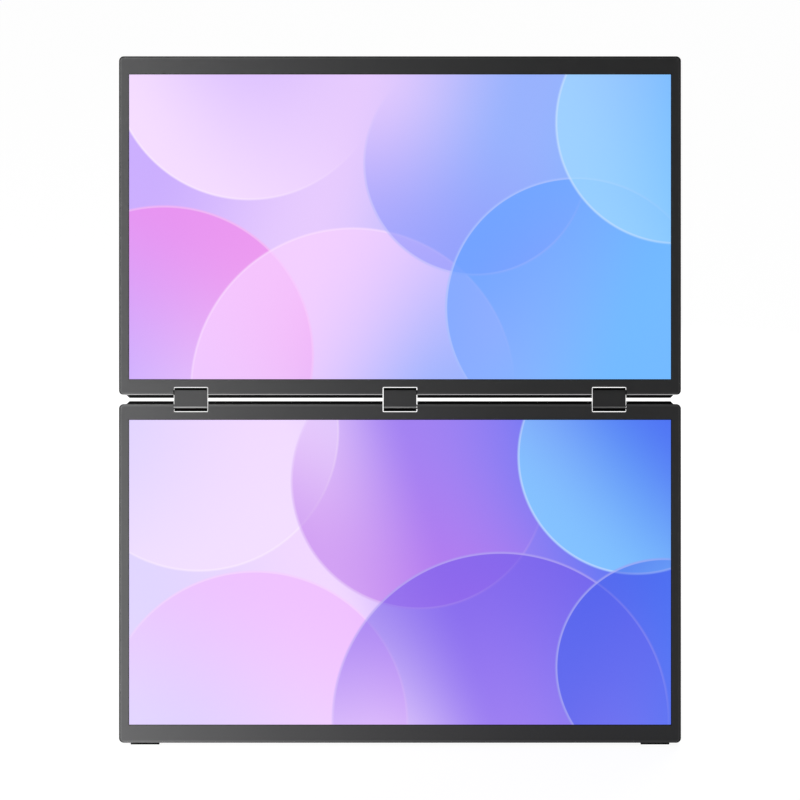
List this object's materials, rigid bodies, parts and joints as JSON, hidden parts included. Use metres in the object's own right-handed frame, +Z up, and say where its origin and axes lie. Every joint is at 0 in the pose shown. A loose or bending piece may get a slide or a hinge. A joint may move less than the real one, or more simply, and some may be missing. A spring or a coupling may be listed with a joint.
{
  "type": "stacked dual-screen monitor",
  "caption": "Stacked pair of flat screens on double-axis folding hinges, leaning back on a fold-out plate stand, with side sockets and buttons.",
  "frame": {"origin": "on the floor, midway between the sides and midway from front to back", "axes": "+X to the viewer's right, +Y to the back, +Z up; the screens lean back from the viewer"},
  "size_m": [0.3572, 0.1044, 0.4273],
  "materials": {
    "frame_plastic": "fine-grained matt dark grey plastic",
    "cover_metal": "black anodised, fine blasted",
    "cap_plastic": "satin dark grey plastic",
    "screen_glass": "matt anti-glare screen, lit from behind",
    "light_guide": "clear acrylic with films",
    "tray_metal": "bare pressed sheet",
    "circuit_board": "green board",
    "cable_jacket": "black jacket",
    "button_plastic": "black, moulded",
    "black_rubber": "soft black rubber",
    "stand_metal": "black anodised plate",
    "socket_shell": "plated sheet",
    "bright_steel": "turned steel"
  },
  "bodies": {
    "lower_screen": {"front_frame_lower": "frame_plastic", "lcd_cell_lower": "screen_glass", "light_guide_lower": "light_guide", "led_bar_lower": "circuit_board", "backlight_tray_lower": "tray_metal", "driver_board_lower": "circuit_board", "lower_shaft_left": "bright_steel", "lower_bracket_left": "bright_steel", "lower_shaft_right": "bright_steel", "lower_bracket_right": "bright_steel", "lower_cable_tube": "bright_steel", "lower_friction_discs": "bright_steel", "lower_shaft_clips": "bright_steel", "rear_cover_lower": "cover_metal", "lower_screws": "bright_steel", "lower_cable": "cable_jacket", "main_board": "circuit_board", "usb_c_sockets": "socket_shell", "mini_hdmi_socket": "socket_shell", "button_board": "circuit_board", "rubber_foot_left": "black_rubber", "rubber_foot_right": "black_rubber", "kickstand_bracket_left": "bright_steel", "kickstand_bracket_right": "bright_steel", "kickstand_pins": "bright_steel"},
    "hinge_caps": {"hinge_cap_front_left": "cap_plastic", "hinge_cap_rear_left": "cap_plastic", "bearing_block_left": "bright_steel", "hinge_cap_front_right": "cap_plastic", "hinge_cap_rear_right": "cap_plastic", "bearing_block_right": "bright_steel", "hinge_cap_front_middle": "cap_plastic", "hinge_cap_rear_middle": "cap_plastic", "bearing_block_middle": "bright_steel", "link_cable": "cable_jacket"},
    "upper_screen": {"front_frame_upper": "frame_plastic", "lcd_cell_upper": "screen_glass", "light_guide_upper": "light_guide", "led_bar_upper": "circuit_board", "backlight_tray_upper": "tray_metal", "driver_board_upper": "circuit_board", "upper_shaft_left": "bright_steel", "upper_bracket_left": "bright_steel", "upper_shaft_right": "bright_steel", "upper_bracket_right": "bright_steel", "upper_cable_tube": "bright_steel", "upper_friction_discs": "bright_steel", "upper_shaft_clips": "bright_steel", "rear_cover_upper": "cover_metal", "upper_screws": "bright_steel", "upper_cable": "cable_jacket"},
    "kickstand": {"kickstand_plate": "stand_metal", "kickstand_pad": "black_rubber"},
    "minus_button": {"minus_button": "button_plastic"},
    "plus_button": {"plus_button": "button_plastic"},
    "power_button": {"power_button": "button_plastic"}
  },
  "joints": [
    {"name": "lower_fold", "type": "hinge", "parent": "lower_screen", "child": "hinge_caps", "pos_m": [0, -0.00101, 0.20942], "axis": [1, 0, 0], "range_deg": [-75, 90]},
    {"name": "upper_fold", "type": "hinge", "parent": "hinge_caps", "child": "upper_screen", "pos_m": [0, 0.00101, 0.2183], "axis": [1, 0, 0], "range_deg": [-75, 90]},
    {"name": "kickstand_swing", "type": "hinge", "parent": "lower_screen", "child": "kickstand", "pos_m": [0, -0.00599, 0.17617], "axis": [1, 0, 0], "range_deg": [-24, 0]},
    {"name": "power_press", "type": "slide", "parent": "lower_screen", "child": "power_button", "axis": [-1, 0, 0], "range_m": [0, 0.0005], "stiffness_N_per_m": 400},
    {"name": "plus_press", "type": "slide", "parent": "lower_screen", "child": "plus_button", "axis": [-1, 0, 0], "range_m": [0, 0.0005], "stiffness_N_per_m": 400},
    {"name": "minus_press", "type": "slide", "parent": "lower_screen", "child": "minus_button", "axis": [-1, 0, 0], "range_m": [0, 0.0005], "stiffness_N_per_m": 400}
  ]
}
